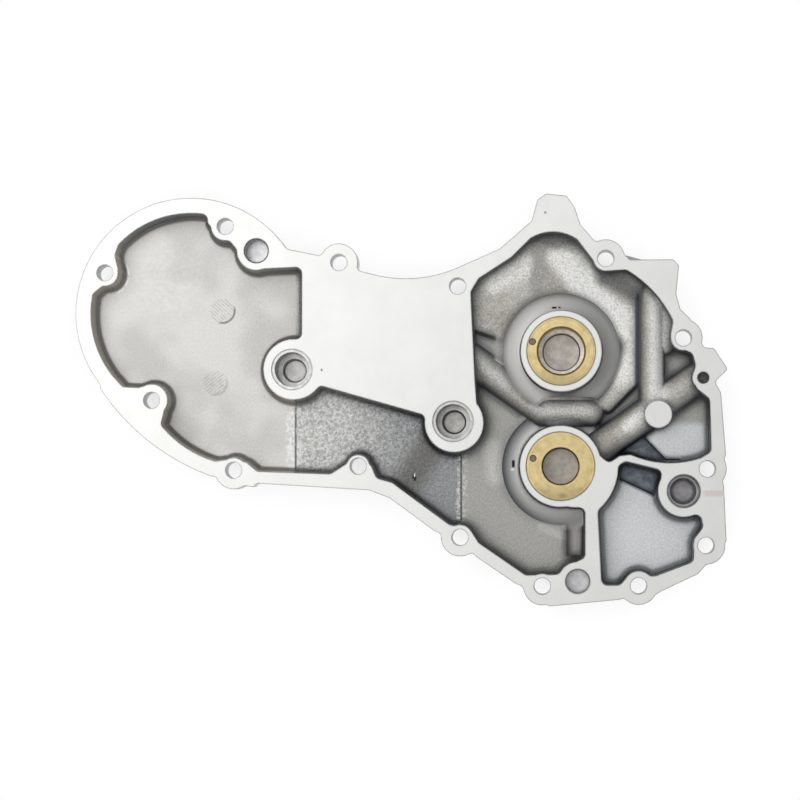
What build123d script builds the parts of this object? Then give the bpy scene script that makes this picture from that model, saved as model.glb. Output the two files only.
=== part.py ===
import os

from build123d import *

os.makedirs("parts", exist_ok=True)

# Heights in mm, all measured down from the gasket face at z = 0
flange_depth = 16.5
chamber_depth = 16.0
ring_depth = 19.0
plateau_depth = 11.0
pad_depth = 21.5
hump_depth = 28.5
dowel_depth = 12.0

# Wall drafts in degrees and the rounding of cast corners in mm
wall_draft = 3.0
pad_draft = 12.0
chamber_root = 1.5
foot_inset = 1.0
outside_edge = 2.5
pad_inset = 3.6
pad_corner_r = 4.0
metal_round = 2.0
cavity_round = 2.6
edge_round = 1.5

# Screws, dowels and the bosses round them
screw_hole_r = 3.35
screw_boss_r = 7.9
screw_seat_r = 5.2
screw_inner_r = 5.2
dowel_r = 4.76
dowel_inner_r = 8.1
chamfer_size = 0.45

# Screw positions, clockwise from the generator end, with the way out for each screw head in degrees
screw_1 = (-189.7, 80.5)
screw_2 = (-139.5, 99.8)
screw_4 = (-92.1, 84.7)
screw_5 = (-42.7, 74.8)
screw_6 = (18.8, 86.2)
screw_7 = (50.9, 53.2)
screw_8 = (-170.1, 27.4)
screw_9 = (-135.8, -1.7)
screw_10 = (-84.0, 0.0)
screw_11 = (-41.7, -29.5)
screw_12 = (-7.6, -49.7)
screw_14 = (32.3, -49.5)
screw_15 = (60.2, -32.8)
screw_16 = (60.8, -1.1)
screw_exits = {
    screw_1: 155,
    screw_2: 68,
    screw_4: 90,
    screw_5: 105,
    screw_6: 75,
    screw_7: 20,
    screw_8: 222,
    screw_9: 265,
    screw_10: 265,
    screw_11: 238,
    screw_12: 250,
    screw_14: 275,
    screw_15: 330,
    screw_16: 0,
}
screws = list(screw_exits)
rim_screws = [s for s in screws if s not in (screw_5, screw_8, screw_10)]
dowel_3 = (-126.5, 89.6)
dowel_13 = (7.1, -47.7)

# Generator end, idler studs and the two shaft bores
generator = (-153.8, 63.6)
generator_outer_r = 48.1
generator_inner_r = 41.7
idler_1 = (-111.6, 40.2)
idler_2 = (-44.6, 18.6)
idler_boss_1 = (-110.9, 40.2)
idler_boss_2 = (-44.1, 18.0)
idler_boss_r = 12.6
idler_bore_r = 7.14
idler_bore_depth = 19.0
idler_tip_r = 4.7
idler_tip_depth = 25.0
idler_ring_r = 8.4
idler_ring_depth = 0.6
cam = (0.3, 47.8)
pinion = (0.0, 0.0)
shaft_boss_r = 16.9
bushing_outer_r = 14.29
bushing_length = 16.0
cam_bore_r = 9.53
cam_tip_r = 7.9
cam_tip_depth = 22.0
pinion_bore_r = 7.94
bushing_chamfer = 0.7
seam_chamfer = 0.25
pin_sink = 0.3
pin_r = 1.45
pin_length = 6.0
cam_pin_edge = 0.32
pinion_pin_edge = 1.0
cam_ring_r = 24.0
pinion_ring_r = 24.5

# Breather gear bore in the lower right chamber
breather_shaft = (51.0, -10.3)
breather_boss_r = 10.7
breather_bore_r = 6.9
breather_bore_depth = 12.0
breather_tip_r = 4.9
breather_tip_depth = 18.0

# Oil passages: raised half-round galleries, the pillar and the small blind oil hole
oil_hole = (59.1, 36.7)
oil_hole_r = 2.4
oil_hole_depth = 9.0
oil_boss_r = 4.6
pillar = (40.5, 21.6)
pillar_r = 5.75
gallery_x = 38.1
gallery_r = 5.5
gallery_crest = -7.0
oilway_r = 7.0
oilway_crest = -6.0

# Rib from the left wall to between the two shaft bosses, and the saddle that carries it on to the right
rib_start = (-38.0, 45.2)
rib_end = (-7.0, 23.5)
rib_r = 7.0
rib_crest = -8.0
saddle_start = (-5.0, 22.8)
saddle_end = (12.0, 22.8)
saddle_r = 6.2
flank_x = 42.8
flank_r = 5.0
flank_crest = -9.0


def spot_round(centre, radius, angle):
    way = Vector(radius, 0, 0).rotate(Axis.Z, angle)
    return (centre[0] + way.X, centre[1] + way.Y)


def disc(centre, radius, mode=Mode.ADD):
    with Locations(centre):
        Circle(radius, mode=mode)


def round_corners(radius):
    offset(amount=-radius)
    offset(amount=radius)


def round_notches(radius):
    offset(amount=radius)
    offset(amount=-radius)


def ridge(start, end, radius, crest):
    along = Vector(end[0] - start[0], end[1] - start[1], 0)
    axis_height = crest - radius
    foot = -chamber_depth - 0.2
    with BuildPart() as body:
        with BuildSketch(Plane(origin=(*start, axis_height), z_dir=along.normalized())):
            Circle(radius)
        extrude(amount=along.length)
        with Locations((*start, axis_height), (*end, axis_height)):
            Sphere(radius)
        with BuildSketch(Plane.XY.offset(foot)):
            with BuildLine():
                Line(start, end)
            trace(line_width=2 * radius)
            with Locations(start, end):
                Circle(radius)
        extrude(amount=axis_height - foot)
    return body.part


# Flange outline: the round generator end, the long lower edge, three ears and a boss at each rim screw
with BuildSketch() as outline:
    disc(generator, generator_outer_r)
    with BuildLine():
        ThreePointArc((-145.1, -4.3), (-171.0, 10.0), (-192.0, 32.9))
        Polyline(
            (-192.0, 32.9), generator, (-122.0, 92.0), (-92.1, 86.0), (-84.0, 81.3),
            (-78.8, 80.0),
        )
        ThreePointArc((-78.8, 80.0), (-61.2, 78.1), (-39.7, 83.9))
        Polyline(
            (-39.7, 83.9), (-25.2, 90.3), (-12.0, 101.8), (-9.6, 110.6), (-6.0, 113.2),
            (2.6, 112.2), (5.9, 107.4), (8.3, 100.3), (18.8, 88.0), (26.0, 88.4),
            (28.8, 85.6), (46.8, 85.8), (49.1, 83.2), (47.9, 71.4), (49.6, 65.2),
            (53.7, 61.2), (56.0, 53.2), (59.2, 49.3), (63.6, 48.9), (69.3, 40.2),
            (63.8, 34.9), (66.4, 30.6), (68.4, 4.7), (66.0, -1.1), (67.6, -8.5),
            (68.6, -31.0), (57.0, -44.5), (41.6, -51.8), (37.5, -54.5), (32.3, -53.0),
            (24.0, -55.3), (-5.0, -58.1), (-9.0, -53.0), (-19.0, -48.5), (-34.5, -37.9),
            (-41.7, -31.0), (-52.3, -26.9), (-71.0, -13.2), (-79.5, -10.0),
            (-127.5, -7.1), (-135.8, -4.0), (-145.1, -4.3),
        )
    make_face()
    for spot in rim_screws:
        disc(spot, screw_boss_r)
    round_corners(edge_round)
    round_notches(metal_round)

# Gear chambers: one connected hollow from the generator gear to the cam, with boss islands left standing
with BuildSketch() as gear_chambers:
    disc(generator, generator_inner_r)
    with BuildLine():
        Polyline(
            (-160.0, 40.0), (-140.0, 70.0), (-128.0, 81.8), (-107.5, 83.3),
            (-107.5, 52.4), idler_boss_1, (-100.0, 33.6), (-56.2, 21.2), idler_boss_2,
            (-34.5, 22.0), (-35.5, 35.0), (-37.3, 72.5), (-34.0, 78.0), (-20.5, 86.7),
            (-12.5, 94.6),
        )
        ThreePointArc((-12.5, 94.6), (-2.5, 97.3), (7.0, 94.1))
        Polyline((7.0, 94.1), (14.2, 84.6), (18.8, 81.0), (27.3, 81.5))
        ThreePointArc((27.3, 81.5), (39.1, 71.8), (46.7, 60.2))
        Polyline(
            (46.7, 60.2), (45.6, 54.6), (48.1, 49.9), (54.6, 46.8), (56.0, 42.0),
            (54.6, 36.8), (56.5, 32.2), (61.8, 27.9), (62.4, 6.0), (58.0, 3.4),
        )
        ThreePointArc((58.0, 3.4), (43.0, 1.4), (29.0, 4.8))
        Polyline(
            (29.0, 4.8), (24.5, 4.2), (20.0, 1.2), (12.0, 8.0), pinion, (3.9, -17.0),
            (10.2, -17.2), (10.2, -37.8), (2.0, -42.0), (0.0, -44.8), (-14.5, -45.2),
            (-34.0, -31.8), (-37.0, -27.0), (-46.3, -24.2), (-70.0, -6.8), (-76.4, -5.0),
            (-78.5, 0.0), (-84.0, 4.0), (-95.5, -3.3), (-126.0, -2.2), (-130.5, 1.5),
            (-136.0, 3.0), (-143.5, 2.0),
        )
        ThreePointArc((-143.5, 2.0), (-156.0, 7.8), (-166.3, 17.2))
        Polyline((-166.3, 17.2), (-165.0, 22.0), (-168.0, 27.0), (-160.0, 40.0))
    make_face()
    with BuildLine():
        Polyline(
            (-147.5, 112.0), (-146.7, 101.0), (-139.5, 96.0), (-131.0, 86.0),
            (-126.5, 82.0), (-104.0, 83.0), (-104.0, 112.0),
            close=True,
        )
    make_face(mode=Mode.SUBTRACT)
    with BuildLine():
        Polyline(
            (-198.0, 69.0), (-191.2, 74.7), (-185.6, 77.3), (-184.2, 82.0),
            (-185.6, 88.0), (-183.2, 94.6), (-198.0, 100.0),
            close=True,
        )
    make_face(mode=Mode.SUBTRACT)
    with BuildLine():
        Polyline(
            (-192.0, 38.0), (-185.3, 36.5), (-182.2, 32.9), (-175.5, 32.6),
            (-171.0, 34.0), (-170.0, 20.0), (-192.0, 20.0),
            close=True,
        )
    make_face(mode=Mode.SUBTRACT)
    for spot in (screw_6, screw_7, screw_9, screw_11, screw_12, screw_16):
        disc(spot, screw_inner_r, Mode.SUBTRACT)
    disc(screw_1, screw_inner_r + 0.3, Mode.SUBTRACT)
    disc(screw_2, screw_inner_r + 0.7, Mode.SUBTRACT)
    disc(screw_8, screw_inner_r + 1.5, Mode.SUBTRACT)
    disc(screw_10, screw_inner_r - 0.5, Mode.SUBTRACT)
    disc(dowel_3, dowel_inner_r, Mode.SUBTRACT)
    disc(dowel_13, dowel_inner_r, Mode.SUBTRACT)
    disc(oil_hole, oil_boss_r, Mode.SUBTRACT)
    disc(idler_boss_1, idler_boss_r, Mode.SUBTRACT)
    disc(idler_boss_2, idler_boss_r - 0.4, Mode.SUBTRACT)
    disc(pinion, shaft_boss_r, Mode.SUBTRACT)
    round_corners(cavity_round)
    round_notches(edge_round)
    disc(cam, shaft_boss_r, Mode.SUBTRACT)

# Breather chamber, parted off by a thin wall
with BuildSketch() as breather_chamber:
    with BuildLine():
        Polyline(
            (20.0, 4.0), (24.0, 0.5), (27.0, 2.1), (42.0, -1.6), (41.5, -6.0),
            (46.0, -10.3), (51.0, -20.3), (58.0, -20.0), (59.0, -25.2), (55.3, -30.0),
            (55.0, -39.5), (39.5, -45.4), (27.5, -46.0), (24.5, -49.3), (17.0, -49.3),
            (15.0, -10.0),
            close=True,
        )
    make_face()
    disc(pinion, shaft_boss_r + 7.0, Mode.SUBTRACT)
    disc(breather_shaft, breather_boss_r, Mode.SUBTRACT)
    disc(screw_14, screw_inner_r + 0.9, Mode.SUBTRACT)
    disc(screw_15, screw_inner_r + 0.1, Mode.SUBTRACT)
    round_corners(cavity_round)
    round_notches(edge_round)

# Hollows as tools, drafted down the walls and eased at the root
with BuildPart() as gear_hollow:
    extrude(gear_chambers.sketch, amount=chamber_root - chamber_depth, taper=wall_draft)
    extrude(gear_hollow.faces().sort_by(Axis.Z)[0], amount=chamber_root, taper=45)

with BuildPart() as breather_hollow:
    extrude(breather_chamber.sketch, amount=chamber_root - chamber_depth, taper=wall_draft)
    extrude(breather_hollow.faces().sort_by(Axis.Z)[0], amount=chamber_root, taper=45)

# Sloping bank under the crown of the cam chamber
with BuildPart() as crown_bank:
    with BuildSketch():
        with BuildLine():
            Polyline(
                (-30.0, 84.0), (-20.5, 89.5), (-12.5, 97.5), (0.0, 100.5), (10.0, 97.5),
                (17.0, 86.0), (19.0, 78.0), (10.0, 78.0), (-30.0, 78.0),
                close=True,
            )
        make_face()
    extrude(amount=-plateau_depth - 1.0)
    with BuildSketch():
        with BuildLine():
            Polyline((-34.0, 40.0), (-34.0, 78.0), (-20.5, 86.7), (-12.5, 94.6))
            ThreePointArc((-12.5, 94.6), (-2.5, 97.3), (7.0, 94.1))
            Polyline((7.0, 94.1), (14.2, 84.6), (22.0, 78.0), (22.0, 40.0), (-34.0, 40.0))
        make_face()
    extrude(amount=-plateau_depth - 1.0, taper=28, mode=Mode.SUBTRACT)

# Raised floor round the upper shaft boss
with BuildSketch(Plane.XY.offset(-chamber_depth - 0.2)) as plateau_plan:
    with BuildLine():
        Polyline(
            (-42.0, 57.5), (-24.0, 51.5), cam, (10.0, 30.0), (16.5, 22.5), (20.5, 21.0),
            (32.8, 33.5), (32.8, 70.0), (36.5, 76.5), (36.0, 86.0), (14.0, 92.0), (8.0, 101.0),
            (-10.0, 101.0), (-24.0, 90.5), (-42.0, 80.0),
            close=True,
        )
    make_face()
    round_corners(3)
    disc(cam, cam_ring_r, Mode.SUBTRACT)

with BuildPart() as plateau:
    extrude(plateau_plan.sketch, amount=chamber_depth + 0.2 - plateau_depth, taper=20)
    fillet(plateau.faces().sort_by(Axis.Z)[-1].edges(), 1.8)

# Deeper floor round the pinion boss, beside the lower wall and on both sides of the partition
with BuildSketch() as deep_areas:
    disc(pinion, pinion_ring_r)
    with BuildLine():
        Polyline((2.4, -12.0), (2.4, -37.5), (12.0, -37.5), (12.0, -12.0), close=True)
    make_face()
    with BuildLine():
        Polyline(
            (14.0, 6.0), (22.0, -2.0), (23.6, -5.0), (39.8, -12.6), (50.0, -10.0),
            (50.0, 3.3), (44.0, 3.3), (34.6, 13.0), (26.0, 13.0),
            close=True,
        )
    make_face()

with BuildPart() as rings:
    with BuildSketch(Plane.XY.offset(-chamber_depth + 1.0)):
        add([gear_chambers.sketch, breather_chamber.sketch])
        offset(amount=-foot_inset)
        add(deep_areas.sketch, mode=Mode.INTERSECT)
    extrude(amount=-(ring_depth - chamber_depth + 1.0))
    with BuildSketch(Plane.XY.offset(-ring_depth)):
        disc(cam, cam_ring_r + 0.5)
        disc(cam, shaft_boss_r + 0.6, Mode.SUBTRACT)
    extrude(amount=ring_depth + 1.0)

# Outer side: a raised pad inside the flange edge and a flat-topped hump over the stud and shaft bosses
pad_r = generator_outer_r - pad_inset
with BuildPart() as pad:
    with BuildSketch(Plane.XY.offset(-flange_depth / 2)):
        disc(generator, pad_r)
        with BuildLine():
            Polyline(
                spot_round(generator, pad_r - 2.1, 220.6), generator,
                spot_round(generator, pad_r - 6.8, 42.4), (-92.0, 81.5), (-79.0, 76.0),
                (-61.0, 74.2), (-42.0, 79.3), (-22.0, 87.5), (-9.0, 100.0), (-7.5, 109.0),
                (1.5, 108.5), (5.0, 99.0), (17.0, 84.0), (45.0, 82.0), (44.5, 66.5),
                (51.0, 55.0), (55.0, 46.5), (63.0, 41.0), (62.5, 5.0), (64.5, -30.0),
                (53.5, -42.0), (38.0, -50.0), (-4.0, -54.0), (-36.0, -32.0),
                (-72.0, -8.5), (-128.0, -3.2), (-146.0, -0.8), (-170.0, 13.5),
                close=True,
            )
        make_face()
        round_corners(pad_corner_r)
    extrude(amount=flange_depth / 2 - pad_depth)
    chamfer(pad.faces().sort_by(Axis.Z)[0].edges(), outside_edge)

with BuildPart() as hump:
    with BuildSketch(Plane.XY.offset(-flange_depth)):
        for spot, radius in ((idler_1, 16), (idler_2, 16), (cam, 20), (pinion, 20)):
            disc(spot, radius)
        make_hull()
    extrude(amount=-(hump_depth - outside_edge - flange_depth), taper=pad_draft)
    extrude(hump.faces().sort_by(Axis.Z)[0], amount=outside_edge, taper=45)

# Screw seats on the outer side, each open to the edge
with BuildPart() as seats:
    with BuildSketch(Plane.XY.offset(-flange_depth)):
        for spot, way_out in screw_exits.items():
            disc(spot, screw_seat_r)
            with Locations(Location(spot, way_out)):
                Rectangle(16, 2 * screw_seat_r, align=(Align.MIN, Align.CENTER))
    extrude(amount=-(pad_depth - flange_depth + 1.0))

# The casting
with BuildPart() as cover:
    extrude(outline.sketch, amount=-flange_depth)
    add([pad.part, hump.part])
    add([gear_hollow.part, breather_hollow.part, seats.part], mode=Mode.SUBTRACT)
    add([plateau.part, crown_bank.part, ridge(rib_start, rib_end, rib_r, rib_crest)])
    add(rings.part, mode=Mode.SUBTRACT)
    add([
        ridge(saddle_start, saddle_end, saddle_r, rib_crest),
        ridge((gallery_x, 28.0), (gallery_x, 71.5), gallery_r, gallery_crest),
        ridge((flank_x, 51.0), (flank_x, 64.0), flank_r, flank_crest),
        ridge((12.0, 5.0), (58.0, 37.5), oilway_r, oilway_crest),
    ])
    with BuildSketch(Plane.XY.offset(-chamber_depth - 0.2)):
        disc(pillar, pillar_r)
    extrude(amount=chamber_depth + 0.2)
    with BuildSketch():
        for spot in (cam, pinion):
            disc(spot, bushing_outer_r)
    extrude(amount=-bushing_length, mode=Mode.SUBTRACT)
    with Locations((*cam, 0)):
        Hole(cam_tip_r, cam_tip_depth)
    with Locations((*idler_1, 0), (*idler_2, 0)):
        CounterBoreHole(idler_bore_r, idler_ring_r, idler_ring_depth, idler_bore_depth)
        Hole(idler_tip_r, idler_tip_depth)
    with Locations((*breather_shaft, 0)):
        Hole(breather_bore_r, breather_bore_depth)
        Hole(breather_tip_r, breather_tip_depth)
    with Locations((*oil_hole, 0)):
        Hole(oil_hole_r, oil_hole_depth)
    with Locations((*dowel_3, 0), (*dowel_13, 0)):
        Hole(dowel_r, dowel_depth)
    with Locations(*[(*spot, 0) for spot in screws]):
        Hole(screw_hole_r, flange_depth + 1.0)
    mouths = cover.edges().filter_by(GeomType.CIRCLE).filter_by_position(Axis.Z, -0.01, 0.01)
    chamfer(mouths.filter_by(lambda e: round(e.radius, 3) == dowel_r), chamfer_size)

cover.part.label = "cover"
export_step(cover.part, "parts/cover.step")

# Locking pins, each a little inside its bushing's rim
cam_pin = spot_round(cam, bushing_outer_r - pin_r - cam_pin_edge, 162)
pinion_pin = spot_round(pinion, bushing_outer_r - pin_r - pinion_pin_edge, 164)

# Bronze bushings, each a line-to-line press fit in its boss and locked by a small pin in its face
with BuildPart() as cam_bushing:
    with Locations((*cam, -bushing_length / 2)):
        Cylinder(bushing_outer_r, bushing_length)
        Cylinder(cam_bore_r, bushing_length, mode=Mode.SUBTRACT)
    inner_rim, outer_rim = cam_bushing.edges().group_by(Axis.Z)[-1].sort_by(SortBy.RADIUS)
    chamfer(inner_rim, bushing_chamfer)
    chamfer(outer_rim, seam_chamfer)
    with Locations((*cam_pin, -pin_length / 2)):
        Cylinder(pin_r, pin_length, mode=Mode.SUBTRACT)

with BuildPart() as pinion_bushing:
    with Locations((*pinion, -bushing_length / 2)):
        Cylinder(bushing_outer_r, bushing_length)
        Cylinder(pinion_bore_r, bushing_length, mode=Mode.SUBTRACT)
    inner_rim, outer_rim = pinion_bushing.edges().group_by(Axis.Z)[-1].sort_by(SortBy.RADIUS)
    chamfer(outer_rim, seam_chamfer)
    with Locations((*pinion_pin, -pin_length / 2)):
        Cylinder(pin_r, pin_length, mode=Mode.SUBTRACT)

with BuildPart() as cam_bushing_pin:
    with Locations((*cam_pin, -(pin_length + pin_sink) / 2)):
        Cylinder(pin_r, pin_length - pin_sink)
    chamfer(cam_bushing_pin.faces().sort_by(Axis.Z)[-1].edges(), pin_sink)

with BuildPart() as pinion_bushing_pin:
    with Locations((*pinion_pin, -(pin_length + pin_sink) / 2)):
        Cylinder(pin_r, pin_length - pin_sink)
    chamfer(pinion_bushing_pin.faces().sort_by(Axis.Z)[-1].edges(), pin_sink)

cam_bushing.part.label = "cam_bushing"
export_step(cam_bushing.part, "parts/cam_bushing.step")
pinion_bushing.part.label = "pinion_bushing"
export_step(pinion_bushing.part, "parts/pinion_bushing.step")
cam_bushing_pin.part.label = "cam_bushing_pin"
export_step(cam_bushing_pin.part, "parts/cam_bushing_pin.step")
pinion_bushing_pin.part.label = "pinion_bushing_pin"
export_step(pinion_bushing_pin.part, "parts/pinion_bushing_pin.step")
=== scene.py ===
import math

import bpy
from mathutils import Euler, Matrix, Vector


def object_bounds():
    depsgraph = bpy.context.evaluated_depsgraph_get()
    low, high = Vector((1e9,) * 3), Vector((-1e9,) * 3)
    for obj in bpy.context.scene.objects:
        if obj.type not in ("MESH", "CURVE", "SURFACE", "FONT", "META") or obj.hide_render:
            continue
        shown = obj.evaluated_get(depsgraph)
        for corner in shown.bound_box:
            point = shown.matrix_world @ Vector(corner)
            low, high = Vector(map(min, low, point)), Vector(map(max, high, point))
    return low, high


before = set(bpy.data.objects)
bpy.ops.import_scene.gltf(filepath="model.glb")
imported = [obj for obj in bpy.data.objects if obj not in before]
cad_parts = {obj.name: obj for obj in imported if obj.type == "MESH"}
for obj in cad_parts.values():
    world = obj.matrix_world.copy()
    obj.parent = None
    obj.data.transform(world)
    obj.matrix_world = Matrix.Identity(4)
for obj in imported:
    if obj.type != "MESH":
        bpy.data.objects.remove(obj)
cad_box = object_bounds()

MM = 0.001


def mm(*lengths):
    return tuple(length * MM for length in lengths)


# Camera above the pinion side, found from the screw holes of the photograph; its turn is in degrees
CAMERA_PLACE = mm(5.27, -14.08, 1819.0)
CAMERA_TURN = (1.309, 2.262, 0.034)
FOCAL_PX = 4385.7
PHOTO_PX = 800
SENSOR_MM = 36.0

# Studio: one soft lamp at the left, and a sky that is brighter overhead than near the horizon
LAMP_PLACE = (-0.58, 0.3, 1.5)
LAMP_AIM = (-0.06, 0.02, 0)
LAMP_SIZE = 1.0
LAMP_POWER = 3.4
SKY_RISE = (0.3, 0.97)
SKY_STRENGTH = (0.15, 0.80)
FLOOR_SIZE = 6.0
FLOOR_LIGHT = 0.7
FLOOR_SHADOW = (0.70, 0.70, 0.72)
SHADOW_REACH = 25 * MM

# Shaft and stud centres, pinion bore in the origin
PINION = mm(0.0, 0.0)
CAM = mm(0.3, 47.8)
IDLER_LEFT = mm(-111.6, 40.2)
IDLER_RIGHT = mm(-44.6, 18.6)
BREATHER = mm(51.0, -10.3)
DOWEL_LEFT = mm(-126.5, 89.6)
DOWEL_RIGHT = mm(7.1, -47.7)

# Blind bores by centre and radius, and the tone of each ring of their bottoms, largest ring first
BORES = (
    (CAM, 9.6),
    (PINION, 8.2),
    (IDLER_LEFT, 8.6),
    (IDLER_RIGHT, 8.6),
    (BREATHER, 7.1),
    (DOWEL_LEFT, 4.9),
    (DOWEL_RIGHT, 4.9),
)
# Bore bottom rings: the dark ones are painted shade at the hole edges; the bright ones are partly the metal's own
# tone, partly painted light on bottoms and chamfers
BORE_TONES_LIT_AND_SHADED = (
    (CAM, 9.6, (0.95, 0.90, 0.83)),
    (CAM, 8.0, (0.14, 0.12, 0.10)),
    (CAM, 7.4, (0.66, 0.62, 0.57)),
    (PINION, 8.4, (0.10, 0.08, 0.06)),
    (PINION, 7.3, (0.52, 0.485, 0.44)),
    (IDLER_LEFT, 8.6, (0.88, 0.88, 0.85)),
    (IDLER_LEFT, 5.1, (0.20, 0.20, 0.19)),
    (IDLER_LEFT, 4.3, (0.84, 0.83, 0.80)),
    (IDLER_RIGHT, 8.6, (0.80, 0.79, 0.76)),
    (IDLER_RIGHT, 5.1, (0.07, 0.07, 0.07)),
    (IDLER_RIGHT, 4.3, (0.70, 0.69, 0.66)),
    (BREATHER, 7.1, (0.75, 0.74, 0.75)),
    (BREATHER, 5.6, (0.12, 0.12, 0.12)),
    (BREATHER, 4.9, (0.44, 0.42, 0.44)),
    (DOWEL_LEFT, 4.9, (0.95, 0.95, 0.97)),
    (DOWEL_RIGHT, 4.9, (0.95, 0.95, 0.97)),
)
BORE_WEAR = 0.72

# Parting lines across the chamber floor: place in x, width of the torn skin, upper end, and lightness
PARTING_LEFT = -111.0 * MM
PARTING_RIGHT = -41.6 * MM
PARTINGS = (
    (PARTING_LEFT, 4.6 * MM, 26 * MM, 0.8),
    (PARTING_RIGHT, 2.4 * MM, 7 * MM, 0.6),
)

# Ejector marks in the generator chamber: centre, lean of the hatching, and strength of the painted shadow at the
# burred rim
EJECTORS = (
    (mm(-141.8, 65.3), 0.9, 0.7),
    (mm(-144.9, 35.1), -0.8, 0.25),
)
EJECTOR_R = 5.1 * MM
HATCH_PITCH = 1.5 * MM

# Left screw boss with a painted highlight along its foot, the rib's end, and the dimpled patch of the generator
# floor
SCREW_BOSS = mm(-189.7, 80.5)
SCREW_BOSS_FOOT_R = 8.3 * MM
RIB_END = mm(-31.0, 50.5)
DIMPLES = mm(-164, 78)

# Where each finish begins and is full: height and place in metres, slope as the upward part of the normal
MILLED_HEIGHT = mm(-0.06, -0.03)
MILLED_SLOPE = (0.98, 0.99)
LOW_HEIGHT = mm(-15.2, -15.8)
DEEP_HEIGHT = mm(-18.7, -18.9)
DEEP_SLOPE = (0.9, 0.95)
WALL_SLOPE = (0.75, 0.45)
INNER_SLOPE = (0.005, 0.03)
CHIP_SLOPE = (0.80, 0.90)
RAISED_HEIGHT = mm(-15.0, -12.0)
EAST_X = mm(14.5, 16.5)
EAST_Y = mm(20.0, 16.0)
EAST_HEIGHT = mm(-8, -12)
CAM_RING_R = 28.5 * MM
CAM_RING_RIM = 1.5 * MM
CAM_RING_HEIGHT = mm(-10.0, -10.8)
PINION_RING_R = mm(28, 25.5)
PINION_RING_HEIGHT = mm(-13.5, -14.5)
PINION_RING_X = mm(14.5, 13.5)
SHADED = mm(48, 66)

# Reach of the painted shade where walls crowd in, and radii of the cast edges: cam chamber, breather side,
# channel, generator chamber
COVE_SHADE_REACH = mm(6.0, 3.0, 5.0, 1.5)
COVE_SHADE_REACH_IN_BORES = 1.6 * MM
EDGE_R = mm(5.0, 2.0, 2.5, 1.3)
OUTER_EDGE_R = 1.0 * MM
MILLED_EDGE_R = 0.2 * MM
BORE_EDGE_R = 0.3 * MM

# Tones of the casting; of a pair, a noise or a slow change leads from the first to the second
# Channel floor: lit at the left, painted shade deepening to the right
CHANNEL_FLOOR_LIT_TO_SHADED = ((0.62, 0.62, 0.60), (0.33, 0.335, 0.34))
GENERATOR_FLOOR = ((0.61, 0.60, 0.575), (0.72, 0.71, 0.685))
CHAMBER_FLOOR = (0.47, 0.465, 0.44)
RAISED_FLOOR = ((0.46, 0.445, 0.40), (0.60, 0.59, 0.55))
EAST_FLOOR = (0.78, 0.79, 0.80)
# Walls: painted shade; the generator chamber's lower walls painted lit brown-grey and its top wall painted shaded
# slate
GENERATOR_WALL_LIT_AND_SHADED = ((0.62, 0.58, 0.52), (0.24, 0.25, 0.29))
CHAMBER_WALL_SHADE = (0.30, 0.31, 0.33)
EAST_WALL_SHADE = (0.06, 0.07, 0.09)
# Groove floors with painted shade: the pinion groove darkens away from its boss, the cam groove from the lit left
# to the right
PINION_GROOVE_SHADE = ((0.56, 0.555, 0.54), (0.13, 0.135, 0.145))
CAM_GROOVE_LIT_AND_SHADED = ((0.60, 0.59, 0.57), (0.34, 0.34, 0.335))
LOWEST_GROOVE = (0.46, 0.44, 0.42)
# Deep corners of the breather side: painted shade, streaked by a cloudy noise
SHADED_DEEP_CORNER = ((0.11, 0.125, 0.15), (0.24, 0.255, 0.29))
# Painted shade where walls crowd in
COVE_SHADE = (0.055, 0.062, 0.075)
TORN_SKIN = (0.95, 0.95, 0.93)
# Painted shade of the small step along each parting line
SEAM_STEP_SHADE = (0.06, 0.06, 0.07)
HATCHING = (0.25, 0.25, 0.25)
# Painted shadow beside the burred rim of an ejector mark
BURR_SHADOW = (0.12, 0.12, 0.12)
GLINT = (1.0, 0.98, 0.94)
OUTER_SKIN = ((0.46, 0.46, 0.455), (0.56, 0.56, 0.55))
MILLED_FACE = ((0.86, 0.86, 0.84), (0.90, 0.90, 0.88))
# Painted shade in a fine line along the edges of the gasket face
MILLED_EDGE_SHADE = (0.08, 0.08, 0.08)
MILLED_EDGE_SHADE_REACH = 0.8 * MM
CAST_ROUGHNESS = 0.40
SMOOTH_ROUGHNESS = 0.36
SMOOTH_RELIEF = 0.04
CAST_RELIEF_DEPTH = 0.35 * MM

# Bronze and pin steel
BRONZE = ((0.86, 0.70, 0.36), (0.68, 0.53, 0.25))
BRONZE_LOWER_SIDE = (0.45, 0.35, 0.19)
BRONZE_RINGS = (0.38, 0.28, 0.13)
BRONZE_RUBBED = (0.20, 0.15, 0.09)
# Painted shade on the bushings' bore walls
BRONZE_BORE_SHADE = (0.62, 0.47, 0.27)
BRONZE_ROUGHNESS = 0.33
STEEL = ((0.16, 0.12, 0.09), (0.4, 0.34, 0.28))
STEEL_ROUGHNESS = 0.5
FINE_RELIEF_DEPTH = 0.1 * MM

# Light and dull bands on the cast skin, painted highlights along crests and edges and painted shade in valleys:
# from, to, reach in mm, and tone
LIT_AND_SHADED_BANDS = (
    ((-28, 76), (-14, 84), 6, 0.85),
    ((-1, 88), (9, 77), 7, 0.92),
    ((9, 77), (25, 62), 8, 0.92),
    ((26, 60), (27, 38), 7, 0.92),
    ((-33, 47), (-23, 35), 4.5, 0.62),
    ((41, 68), (41, 30), 5, 1.0),
    ((29, 17), (40, 26), 4.5, 0.95),
    ((-8, 24), (12, 24), 6, 0.64),
    ((-29, 8), (-27, -4), 5, 0.62),
    ((-8, -25), (1, -29), 2.5, 0.58),
    ((-179, 52), (-172, 42), 10, 0.58),
    ((-166, 22), (-158, 14), 8, 0.56),
    ((-8, 95), (8, 95), 6, 0.25),
    ((-9, 90), (-10, 73), 4, 0.42),
    ((19, 79), (30, 73), 6, 0.22),
    ((23, 50), (14, 30), 6, 0.20),
    ((-50, 16), (-62, -4), 9, 0.20),
)

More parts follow.
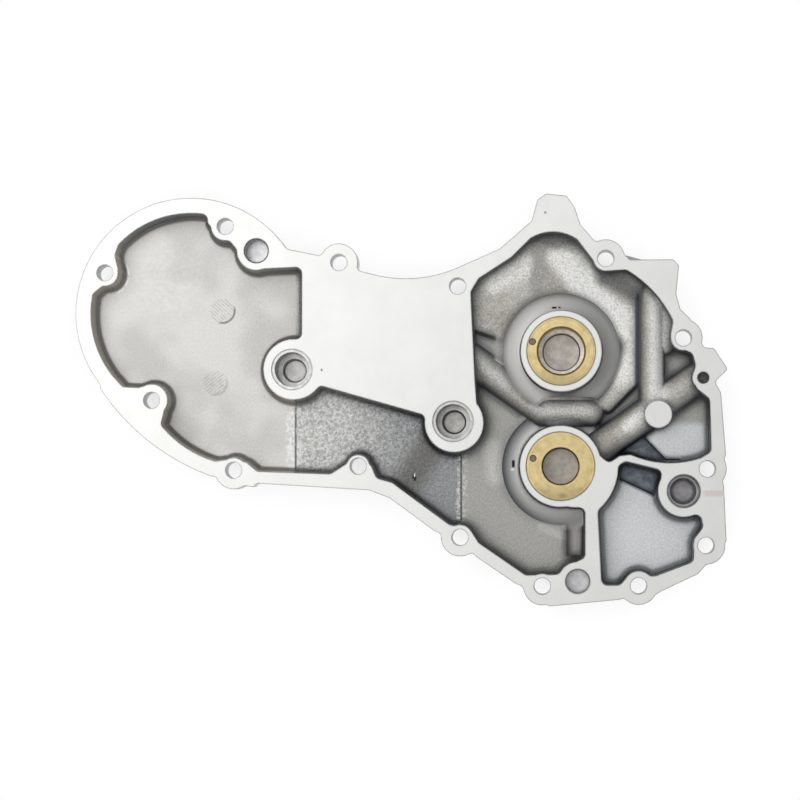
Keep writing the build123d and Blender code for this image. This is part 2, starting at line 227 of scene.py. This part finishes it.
# Chips and stains: place, half width, half height in mm, and colour
CHIPS = (
    ((-2.7, 66.6), 1.0, 0.4, (0.02, 0.02, 0.02)),
    ((-0.5, 66.7), 0.5, 0.35, (0.05, 0.05, 0.05)),
    ((-19.8, 1.2), 0.6, 1.5, (0.02, 0.02, 0.02)),
    ((-20.2, -1.2), 0.7, 0.4, (0.80, 0.80, 0.80)),
    ((-61.6, -4.0), 0.4, 1.1, (0.03, 0.03, 0.04)),
    ((-60.9, -5.0), 0.5, 1.0, (0.04, 0.04, 0.05)),
    ((-61.1, -3.6), 0.3, 0.7, (0.80, 0.80, 0.80)),
    ((-99.2, 40.0), 0.35, 0.5, (0.25, 0.25, 0.25)),
    ((-6.3, 105.3), 0.5, 0.4, (0.35, 0.35, 0.35)),
    ((63.6, -11.2), 4.5, 1.2, (0.78, 0.72, 0.70)),
)

METAL = 1.0


class Nodes:
    """A short hand for wiring the shader nodes of a material or a world."""

    def __init__(self, owner):
        self.owner = owner
        owner.use_nodes = True
        self.tree = owner.node_tree
        self.tree.nodes.clear()

    def add(self, kind, **values):
        node = self.tree.nodes.new(kind)
        for key, value in values.items():
            setattr(node, key, value)
        return node

    def put(self, socket, value):
        if isinstance(value, bpy.types.NodeSocket):
            self.tree.links.new(value, socket)
        else:
            socket.default_value = value

    def math(self, operation, *values):
        node = self.add("ShaderNodeMath", operation=operation)
        for socket, value in zip(node.inputs, values):
            self.put(socket, value)
        return node.outputs[0]

    def plus(self, a, b):
        return self.math("ADD", a, b)

    def minus(self, a, b):
        return self.math("SUBTRACT", a, b)

    def absolute(self, value):
        return self.math("ABSOLUTE", value)

    def most(self, a, b):
        return self.math("MAXIMUM", a, b)

    def times(self, *factors):
        result = factors[0]
        for factor in factors[1:]:
            result = self.math("MULTIPLY", result, factor)
        return result

    def without(self, mask):
        return self.minus(1.0, mask)

    def length(self, across, along):
        return self.math("SQRT", self.plus(self.times(across, across), self.times(along, along)))

    def ramp(self, value, low, high):
        """0 below low, 1 above high, smooth between; falls instead where low is above high."""
        node = self.add("ShaderNodeMapRange", interpolation_type="SMOOTHSTEP")
        self.put(node.inputs["Value"], value)
        self.put(node.inputs["From Min"], low)
        self.put(node.inputs["From Max"], high)
        return node.outputs[0]

    def mix(self, factor, a, b):
        node = self.add("ShaderNodeMix", data_type="RGBA")
        self.put(node.inputs[0], factor)
        self.put(node.inputs[6], a if isinstance(a, bpy.types.NodeSocket) else (*a, 1.0))
        self.put(node.inputs[7], b if isinstance(b, bpy.types.NodeSocket) else (*b, 1.0))
        return node.outputs[2]

    def blend(self, factor, a, b):
        node = self.add("ShaderNodeMix", data_type="FLOAT")
        self.put(node.inputs[0], factor)
        self.put(node.inputs[2], a)
        self.put(node.inputs[3], b)
        return node.outputs[0]

    def noise(self, place, size, detail=3.0, rough=0.55):
        """Cloudy noise, 0 to 1, with features of about the given size in metres."""
        node = self.add("ShaderNodeTexNoise")
        self.put(node.inputs["Vector"], place)
        node.inputs["Scale"].default_value = 1.0 / size
        node.inputs["Detail"].default_value = detail
        node.inputs["Roughness"].default_value = rough
        return node.outputs[0]

    def split(self, vector):
        node = self.add("ShaderNodeSeparateXYZ")
        self.put(node.inputs[0], vector)
        return node.outputs

    def position(self):
        return self.add("ShaderNodeTexCoord").outputs["Object"]

    def bump(self, strength, distance, height, normal=None):
        node = self.add("ShaderNodeBump")
        self.put(node.inputs["Strength"], strength)
        self.put(node.inputs["Distance"], distance)
        self.put(node.inputs["Height"], height)
        if normal:
            self.put(node.inputs["Normal"], normal)
        return node.outputs[0]

    def finish(self, kind, surface):
        output = self.add(kind)
        self.put(output.inputs[0], surface)
        return self.owner

    def metal(self, color, roughness, normal):
        shader = self.add("ShaderNodeBsdfPrincipled")
        self.put(shader.inputs["Base Color"], color)
        self.put(shader.inputs["Metallic"], METAL)
        self.put(shader.inputs["Roughness"], roughness)
        self.put(shader.inputs["Normal"], normal)
        return self.finish("ShaderNodeOutputMaterial", shader.outputs[0])


def new_material(name):
    return Nodes(bpy.data.materials.new(name))


def distance_to(n, x, y, centre):
    return n.length(n.minus(x, centre[0]), n.minus(y, centre[1]))


def distance_to_line(n, x, y, start, end):
    way = (end[0] - start[0], end[1] - start[1])
    length = math.hypot(*way)
    way = (way[0] / length, way[1] / length)
    dx = n.minus(x, start[0])
    dy = n.minus(y, start[1])
    along = n.plus(n.times(dx, way[0]), n.times(dy, way[1]))
    along = n.math("MINIMUM", n.most(along, 0.0), length)
    return n.length(n.minus(dx, n.times(along, way[0])), n.minus(dy, n.times(along, way[1])))


class Casting:
    """The cast aluminium of the cover: each finish lies where the photograph shows it."""

    def __init__(self):
        self.n = n = new_material("cast_aluminium")
        self.place = n.position()
        self.x, self.y, self.z = n.split(self.place)
        self.up = n.split(n.add("ShaderNodeNewGeometry").outputs["True Normal"])[2]
        self.make_noises()
        self.find_regions()

    def spot(self, centre, radius, rim=0.15 * MM):
        return self.n.ramp(distance_to(self.n, self.x, self.y, centre), radius + rim, radius - rim)

    def box_mark(self, centre, half_x, half_y):
        n = self.n
        across = n.absolute(n.minus(self.x, centre[0] * MM))
        along = n.absolute(n.minus(self.y, centre[1] * MM))
        return n.times(n.ramp(across, 1.3 * half_x * MM, 0.7 * half_x * MM),
                       n.ramp(along, 1.3 * half_y * MM, 0.7 * half_y * MM))

    def make_noises(self):
        n, place = self.n, self.place
        self.broad = n.noise(place, 30 * MM, 2.0, 0.5)
        self.cloud = n.noise(place, 14 * MM, 4.0)
        self.cloud_fine = n.noise(place, 3.0 * MM, 4.0, 0.6)
        self.torn = n.noise(place, 1.4 * MM, 4.0, 0.7)
        self.wrinkle = n.noise(place, 1.3 * MM, 3.0, 0.6)
        self.grain = n.noise(place, 0.9 * MM, 4.0, 0.7)
        self.sparkle = n.noise(place, 0.8 * MM, 2.0, 0.8)
        self.ragged = n.times(n.minus(n.noise(place, 3.0 * MM, 5.0, 0.75), 0.5), 6.0 * MM)

    def find_regions(self):
        n, x, y, z, up = self.n, self.x, self.y, self.z, self.up

        # By height and slope
        self.milled = n.times(n.ramp(z, *MILLED_HEIGHT), n.ramp(up, *MILLED_SLOPE))
        self.low = n.ramp(z, *LOW_HEIGHT)
        self.deep = n.times(n.ramp(z, *DEEP_HEIGHT), n.ramp(up, *DEEP_SLOPE))
        self.wall = n.ramp(up, *WALL_SLOPE)
        self.inner = n.ramp(up, *INNER_SLOPE)

        # Generator chamber, cam chamber, the channel between, the raised floor, and the breather side
        self.left = n.ramp(x, PARTING_LEFT + 0.1 * MM, PARTING_LEFT - 0.1 * MM)
        self.right = n.ramp(x, PARTING_RIGHT - 0.1 * MM, PARTING_RIGHT + 0.1 * MM)
        self.channel = n.times(n.without(self.left), n.without(self.right))
        self.high = n.times(self.right, n.ramp(z, *RAISED_HEIGHT))
        self.east = n.times(n.ramp(x, *EAST_X), n.ramp(y, *EAST_Y), n.ramp(z, *EAST_HEIGHT))
        self.shaded = n.ramp(n.plus(y, n.times(x, 0.2)), *SHADED)

        # Turned grooves round the two bearing bosses, and the blind bores
        self.from_pinion = distance_to(n, x, y, PINION)
        cam_ring = n.times(self.spot(CAM, CAM_RING_R, CAM_RING_RIM), n.ramp(z, *CAM_RING_HEIGHT))
        pinion_ring = n.times(n.ramp(self.from_pinion, *PINION_RING_R), n.ramp(z, *PINION_RING_HEIGHT),
                              n.ramp(x, *PINION_RING_X))
        self.worked = n.most(cam_ring, pinion_ring)
        self.bores = 0.0
        for centre, radius in BORES:
            self.bores = n.most(self.bores, self.spot(centre, radius * MM))

    def by_region(self, chamber, east, channel, left):
        """A value that changes from one part of the cover to the next."""
        n = self.n
        value = n.blend(self.east, chamber, east)
        return n.blend(self.left, n.blend(self.channel, value, channel), left)

    def floors(self):
        n = self.n
        # The channel floor fades from lit at the left into painted shade at the right
        color = n.mix(n.ramp(self.x, -100.0 * MM, -55.0 * MM), *CHANNEL_FLOOR_LIT_TO_SHADED)
        color = n.mix(self.left, color, n.mix(n.ramp(self.broad, 0.35, 0.65), *GENERATOR_FLOOR))
        color = n.mix(self.right, color, CHAMBER_FLOOR)
        color = n.mix(self.high, color, n.mix(n.ramp(self.cloud, 0.35, 0.65), *RAISED_FLOOR))
        # Painted highlights and painted shade in bands
        for start, end, reach, tone in LIT_AND_SHADED_BANDS:
            band = distance_to_line(n, self.x, self.y, mm(*start), mm(*end))
            lit = n.ramp(band, 1.2 * reach * MM, 0.2 * reach * MM)
            color = n.mix(lit, color, (tone, 0.99 * tone, 0.95 * tone))
        color = n.mix(self.east, color, EAST_FLOOR)
        bright = n.add("ShaderNodeHueSaturation")
        n.put(bright.inputs["Value"], n.plus(1.0, self.flecks()))
        n.put(bright.inputs["Color"], color)
        return bright.outputs[0]

    def flecks(self):
        """Sparkle of the blasted skin, dimples in the generator chamber, and cold wrinkles in the channel with
        painted light on their crests and painted shade in their troughs.
        """
        n = self.n
        pitted = n.blend(self.spot(DIMPLES, 16 * MM, 10 * MM), self.sparkle, self.torn)
        flecks = n.blend(n.ramp(pitted, 0.30, 0.70), -0.25, 0.25)
        share = n.blend(self.channel, n.blend(self.high, 0.45, 1.0), 0.8)
        flecks = n.times(flecks, n.blend(self.left, share, 0.25))
        creased = n.times(self.channel, n.ramp(self.y, -12 * MM, 4 * MM), n.ramp(self.broad, 0.30, 0.50))
        # Painted light on the wrinkles' crests and painted shade in their troughs
        wrinkle_light_and_shade = n.blend(n.ramp(self.wrinkle, 0.36, 0.64), -0.26, 0.20)
        return n.plus(flecks, n.times(creased, wrinkle_light_and_shade))

    def walls(self, color):
        n = self.n
        # Painted shade on the steep walls, lighter where the generator chamber's lower walls face the light
        side = n.mix(self.left, CHAMBER_WALL_SHADE, n.mix(self.shaded, *GENERATOR_WALL_LIT_AND_SHADED))
        side = n.mix(self.east, side, EAST_WALL_SHADE)
        return n.mix(n.times(self.wall, n.without(self.worked)), color, side)

    def grooves(self, color):
        n = self.n
        # Painted shade: the pinion groove darkens away from its boss, the cam groove from left to right, and the
        # deep corners are painted shade
        pinion = n.mix(n.ramp(self.from_pinion, 17 * MM, 26 * MM), *PINION_GROOVE_SHADE)
        cam = n.mix(n.ramp(self.x, -15 * MM, 20 * MM), *CAM_GROOVE_LIT_AND_SHADED)
        tone = n.mix(n.ramp(self.y, 20 * MM, 26 * MM), pinion, cam)
        tone = n.mix(n.ramp(self.y, -18 * MM, -30 * MM), tone, LOWEST_GROOVE)
        corner = n.mix(n.ramp(self.cloud_fine, 0.3, 0.7), *SHADED_DEEP_CORNER)
        return n.mix(self.deep, color, n.mix(self.east, tone, corner))

    def bore_bottoms(self, color):
        n = self.n
        stained = n.ramp(self.cloud_fine, 0.3, 0.7)
        # Dark rings are painted shade at the hole edges, bright rings are partly painted light
        for centre, radius, tone in BORE_TONES_LIT_AND_SHADED:
            worn = n.mix(stained, tone, tuple(BORE_WEAR * c for c in tone))
            color = n.mix(self.spot(centre, radius * MM), color, worn)
        return color

    def coves(self, color):
        """Painted shade where walls crowd in, most of all on the right."""
        n = self.n
        near = n.add("ShaderNodeAmbientOcclusion", samples=4)
        reach = self.by_region(*COVE_SHADE_REACH)
        n.put(near.inputs["Distance"], n.blend(self.bores, reach, COVE_SHADE_REACH_IN_BORES))
        sky = near.outputs["AO"]
        cove = n.blend(self.east, n.ramp(sky, 0.95, 0.35), n.ramp(sky, 0.90, 0.60))
        depth = n.blend(self.left, n.blend(self.east, 0.5, 0.95), n.blend(self.shaded, 0.12, 0.3))
        calm = n.most(self.worked, n.times(0.7, self.spot(RIB_END, 8 * MM, 5 * MM)))
        return n.mix(n.times(cove, depth, n.without(calm)), color, COVE_SHADE)

    def parting_lines(self, color):
        """Torn bright skin on both sides of a seam, whose dark line is painted shade of the small step there."""
        n = self.n
        for line, width, top, light in PARTINGS:
            off = n.minus(self.x, line)
            frayed = n.plus(off, self.ragged)
            ends = n.times(n.ramp(self.y, top, top - 2 * MM), self.low)
            skin = n.times(n.ramp(frayed, -width, -width + 1.5 * MM), n.ramp(off, 0.3 * MM, -0.2 * MM),
                           n.ramp(self.torn, 0.42, 0.56), ends)
            spill = n.times(n.ramp(frayed, 3.2 * MM, 1.6 * MM), n.ramp(off, 0.2 * MM, 0.6 * MM),
                            n.ramp(self.torn, 0.48, 0.60), ends, 0.8)
            color = n.mix(n.times(n.plus(skin, spill), light), color, TORN_SKIN)
            # The dark seam line is painted shade of the step at the parting line
            seam = n.times(n.ramp(n.absolute(off), 0.65 * MM, 0.2 * MM), ends, n.ramp(self.torn, 0.30, 0.45))
            color = n.mix(n.times(seam, 0.8), color, SEAM_STEP_SHADE)
        return color

    def ejector_marks(self, color):
        """Hatched discs, each with a painted shadow of its burred rim at its lower right."""
        n = self.n
        for centre, lean, burr_shadow in EJECTORS:
            across = n.plus(n.times(self.x, lean), self.y)
            hatch = n.math("SINE", n.times(across, 2 * math.pi / HATCH_PITCH))
            lines = n.times(self.spot(centre, EJECTOR_R), n.ramp(hatch, -0.1, 0.8), n.ramp(self.torn, 0.35, 0.60))
            color = n.mix(n.times(lines, 0.45), color, HATCHING)
            # Painted shadow beside the burred rim, at its lower right
            rim = n.absolute(n.minus(distance_to(n, self.x, self.y, centre), EJECTOR_R))
            lower_right = n.minus(n.minus(self.x, centre[0]), n.minus(self.y, centre[1]))
            rim = n.times(n.ramp(rim, 0.7 * MM, 0.2 * MM), n.ramp(lower_right, 2 * MM, 5 * MM), burr_shadow)
            color = n.mix(rim, color, BURR_SHADOW)
        return color

    def boss_foot(self, color):
        n = self.n
        # Painted highlight along the foot of the screw boss
        foot = n.absolute(n.minus(distance_to(n, self.x, self.y, SCREW_BOSS), SCREW_BOSS_FOOT_R))
        glint = n.times(n.ramp(foot, 0.7 * MM, 0.2 * MM), n.ramp(self.torn, 0.38, 0.50),
                        n.ramp(self.x, -187 * MM, -185 * MM))
        return n.mix(glint, color, GLINT)

    def outer_skin(self, color):
        n = self.n
        return n.mix(self.inner, n.mix(n.ramp(self.cloud, 0.3, 0.7), *OUTER_SKIN), color)

    def milled_face(self, color):
        """The gasket face, with a fine line of painted shade along its edges."""
        n = self.n
        line = n.add("ShaderNodeBevel", samples=4)
        line.inputs["Radius"].default_value = MILLED_EDGE_SHADE_REACH
        tilt = n.split(line.outputs[0])[2]
        face = n.mix(n.ramp(self.cloud, 0.3, 0.7), *MILLED_FACE)
        face = n.mix(n.ramp(tilt, 0.995, 0.88), face, MILLED_EDGE_SHADE)
        return n.mix(self.milled, color, face)

    def chips(self, color):
        n = self.n
        for centre, half_x, half_y, tone in CHIPS:
            mark = n.times(self.box_mark(centre, half_x, half_y), n.ramp(self.up, *CHIP_SLOPE))
            color = n.mix(mark, color, tone)
        return color

    def color(self):
        color = self.floors()
        for layer in (self.walls, self.grooves, self.bore_bottoms, self.coves, self.parting_lines,
                      self.ejector_marks, self.boss_foot, self.outer_skin, self.milled_face, self.chips):
            color = layer(color)
        return color

    def soft_edges(self):
        """Normals of rounded cast edges, crisper near the milled face and flatter where the floor is turned."""
        n = self.n
        soften = n.blend(self.inner, OUTER_EDGE_R, self.by_region(*EDGE_R))
        soften = n.blend(n.ramp(self.z, -7.0 * MM, -0.5 * MM), soften, MILLED_EDGE_R)
        edge = n.add("ShaderNodeBevel", samples=4)
        n.put(edge.inputs["Radius"], n.blend(self.bores, soften, BORE_EDGE_R))
        flatten = n.most(n.times(self.worked, 0.7), n.times(self.high, 0.3))
        gentle = n.add("ShaderNodeMix", data_type="VECTOR")
        n.put(gentle.inputs[0], n.times(flatten, self.inner))
        n.put(gentle.inputs[4], edge.outputs[0])
        gentle.inputs[5].default_value = (0, 0, 1)
        unit = n.add("ShaderNodeVectorMath", operation="NORMALIZE")
        n.put(unit.inputs[0], gentle.outputs[1])
        return unit.outputs[0]

    def material(self):
        """Smooth where machined, rough where the mould was worn."""
        n = self.n
        smooth = n.times(n.most(n.most(self.milled, self.deep), self.bores), self.inner)
        generator = n.blend(n.ramp(self.broad, 0.5, 0.6), 0.30, 0.10)
        strength = n.blend(self.channel, n.blend(self.left, 0.6, generator), 0.8)
        strength = n.blend(smooth, n.blend(self.inner, 0.35, strength), SMOOTH_RELIEF)
        height = n.blend(self.channel, self.grain, n.blend(0.7, self.grain, self.wrinkle))
        relief = n.bump(strength, CAST_RELIEF_DEPTH, height, self.soft_edges())
        return n.metal(self.color(), n.blend(smooth, CAST_ROUGHNESS, SMOOTH_ROUGHNESS), relief)


def bronze():
    n = new_material("bearing_bronze")
    place = n.position()
    x, y, z = n.split(place)

    # Turned rings about each shaft
    upper = n.ramp(y, 20 * MM, 25 * MM)
    out = n.blend(upper, distance_to(n, x, y, PINION), distance_to(n, x, y, CAM))
    spread = n.add("ShaderNodeCombineXYZ")
    n.put(spread.inputs[0], out)
    n.put(spread.inputs[1], n.times(upper, 0.05))
    rings = n.noise(spread.outputs[0], 0.7 * MM, 3.0, 0.6)

    # Stains, the darker lower side, a rubbed arc on the pinion bushing, and painted shade on the bore walls
    stain = n.noise(place, 4 * MM, 5.0, 0.6)
    color = n.mix(n.ramp(stain, 0.35, 0.75), *BRONZE)
    below = n.minus(n.times(upper, CAM[1]), y)
    color = n.mix(n.times(n.ramp(below, 6 * MM, 13 * MM), 0.6), color, BRONZE_LOWER_SIDE)
    color = n.mix(n.times(n.ramp(rings, 0.45, 0.7), 0.35), color, BRONZE_RINGS)
    rubbed = n.times(n.ramp(y, -8 * MM, -11 * MM), n.ramp(n.noise(place, 7 * MM, 1.0, 0.4), 0.40, 0.60),
                     n.ramp(out, 10.4 * MM, 11.4 * MM), n.ramp(out, 13.4 * MM, 12.4 * MM))
    color = n.mix(n.times(rubbed, 0.6), color, BRONZE_RUBBED)
    # Painted shade on the bore walls below the face
    color = n.mix(n.ramp(z, -0.5 * MM, -3.0 * MM), color, BRONZE_BORE_SHADE)
    return n.metal(color, BRONZE_ROUGHNESS, n.bump(0.15, FINE_RELIEF_DEPTH, rings))


def pin_steel():
    n = new_material("dark_pin_steel")
    place = n.position()
    color = n.mix(n.noise(place, 0.8 * MM, 4.0), *STEEL)
    return n.metal(color, STEEL_ROUGHNESS, n.bump(0.3, FINE_RELIEF_DEPTH, n.noise(place, 0.5 * MM, 3.0)))


def dress(names, material):
    for name in names:
        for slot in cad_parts[name].material_slots:
            slot.material = material


def white_floor(height):
    bpy.ops.mesh.primitive_plane_add(size=FLOOR_SIZE, location=(0, 0, height))
    floor = bpy.context.object
    floor.name = "studio_floor"
    n = new_material("studio_white")
    ray = n.add("ShaderNodeLightPath").outputs
    seen = n.most(ray["Is Camera Ray"], n.most(ray["Is Glossy Ray"], ray["Is Transmission Ray"]))
    open_sky = n.add("ShaderNodeAmbientOcclusion", samples=4)
    open_sky.inputs["Distance"].default_value = SHADOW_REACH
    glow = n.add("ShaderNodeEmission")
    n.put(glow.inputs["Color"], n.mix(n.ramp(open_sky.outputs["AO"], 0.0, 0.6), FLOOR_SHADOW, (1, 1, 1)))
    n.put(glow.inputs["Strength"], n.blend(seen, FLOOR_LIGHT, 1.0))
    floor.data.materials.append(n.finish("ShaderNodeOutputMaterial", glow.outputs[0]))


def soft_light(name, place, aim, size, power):
    lamp = bpy.data.lights.new(name, "AREA")
    lamp.shape = "SQUARE"
    lamp.size = size
    lamp.energy = power
    holder = bpy.data.objects.new(name, lamp)
    holder.location = place
    way = [a - b for a, b in zip(aim, place)]
    pitch = math.atan2(math.hypot(way[0], way[1]), -way[2])
    turn = math.atan2(way[1], way[0]) - math.pi / 2
    holder.rotation_euler = (pitch, 0, turn)
    bpy.context.scene.collection.objects.link(holder)


def studio_sky():
    n = Nodes(bpy.data.worlds.new("studio_sky"))
    rise = n.split(n.add("ShaderNodeTexCoord").outputs["Generated"])[2]
    back = n.add("ShaderNodeBackground")
    n.put(back.inputs["Strength"], n.blend(n.ramp(rise, *SKY_RISE), *SKY_STRENGTH))
    bpy.context.scene.world = n.finish("ShaderNodeOutputWorld", back.outputs[0])


def photo_camera():
    lens = bpy.data.cameras.new("photo_camera")
    lens.sensor_width = SENSOR_MM
    lens.lens = SENSOR_MM * FOCAL_PX / PHOTO_PX
    camera = bpy.data.objects.new("photo_camera", lens)
    camera.location = CAMERA_PLACE
    camera.rotation_euler = Euler([math.radians(a) for a in CAMERA_TURN], "XYZ")
    bpy.context.scene.collection.objects.link(camera)
    bpy.context.scene.camera = camera


dress(["cover"], Casting().material())
dress(["cam_bushing", "pinion_bushing"], bronze())
dress(["cam_bushing_pin", "pinion_bushing_pin"], pin_steel())

white_floor(cad_box[0][2])
studio_sky()
soft_light("key_left", LAMP_PLACE, LAMP_AIM, LAMP_SIZE, LAMP_POWER)
photo_camera()
bpy.context.scene.view_settings.view_transform = "Standard"
